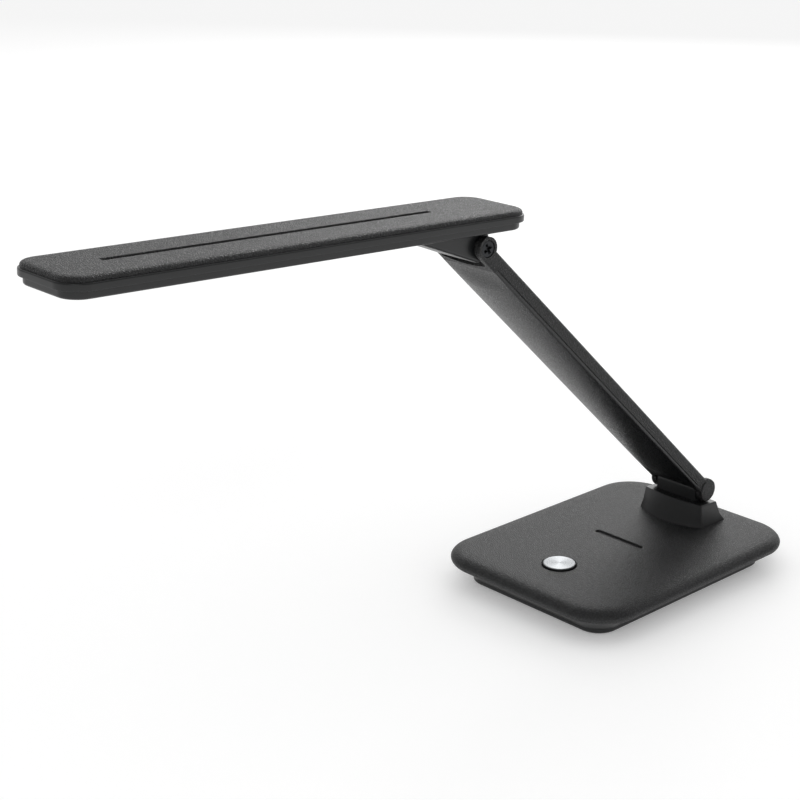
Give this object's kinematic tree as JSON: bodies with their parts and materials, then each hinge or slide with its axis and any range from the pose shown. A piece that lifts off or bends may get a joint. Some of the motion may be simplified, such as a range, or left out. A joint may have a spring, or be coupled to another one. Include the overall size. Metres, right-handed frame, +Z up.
{
  "type": "folding led desk lamp",
  "caption": "Flat folding LED desk lamp: weighted base with a push button, a flat arm on a friction hinge, and a slim light head that tilts on the arm.",
  "frame": {"origin": "on the desk under the middle of the base, in the plane of the grip pad's underside", "axes": "+X towards the tip of the light head, +Y towards the side of the hinge screw's head, +Z up"},
  "size_m": [0.4659, 0.132, 0.2544],
  "materials": {
    "grained_shell": "fine leather grain, satin",
    "smooth_black": "smooth satin",
    "grip_rubber": "matte",
    "plain_steel": "zinc plated",
    "dark_steel": "black oxide",
    "bearing_plastic": "matte",
    "circuit_board": "solder mask",
    "board_plastic": "matte",
    "wire_red": "matte",
    "wire_white": "matte",
    "brushed_aluminium": "brushed in circles",
    "light_board": "white solder mask",
    "led_phosphor": "satin",
    "white_plastic": "matte",
    "opal_acrylic": "satin"
  },
  "bodies": {
    "base": {"base_shell": "grained_shell", "base_tub": "smooth_black", "grip_pad": "grip_rubber", "ballast_plate": "plain_steel", "base_screws": "plain_steel", "control_board": "circuit_board", "board_parts": "board_plastic", "board_screws": "plain_steel", "tact_switch": "board_plastic", "dc_socket": "board_plastic", "supply_wires": "wire_red", "lamp_wires": "wire_white", "hinge_bracket": "smooth_black", "bracket_screws": "plain_steel"},
    "button": {"power_button": "brushed_aluminium", "switch_plunger": "board_plastic"},
    "arm": {"arm_shell": "grained_shell", "arm_front_cover": "grained_shell", "arm_stiffener": "plain_steel", "arm_wires": "wire_white", "lower_hinge_pin": "plain_steel", "lower_hinge_washers": "bearing_plastic", "lower_hinge_caps": "grained_shell", "upper_hinge_screw": "dark_steel", "upper_hinge_nut": "plain_steel", "upper_hinge_washers": "bearing_plastic"},
    "head": {"head_cover": "grained_shell", "head_tray": "smooth_black", "head_bracket": "smooth_black", "head_bracket_screws": "plain_steel", "head_case_screws": "plain_steel", "led_board": "light_board", "led_chips": "led_phosphor", "reflector_frame": "white_plastic", "diffuser": "opal_acrylic", "head_wires": "wire_white"}
  },
  "joints": [
    {"name": "arm_fold", "type": "hinge", "parent": "base", "child": "arm", "pos_m": [-0.06, 0, 0.0408], "axis": [0, -1, 0], "range_deg": [-43, 47]},
    {"name": "head_tilt", "type": "hinge", "parent": "arm", "child": "head", "pos_m": [0.13259, 0, 0.22385], "axis": [0, 1, 0], "range_deg": [-50, 70]},
    {"name": "button_press", "type": "slide", "parent": "base", "child": "button", "axis": [0, 0, -1], "range_m": [0, 0.0008], "stiffness_N_per_m": 800, "springref_m": -0.0015}
  ]
}
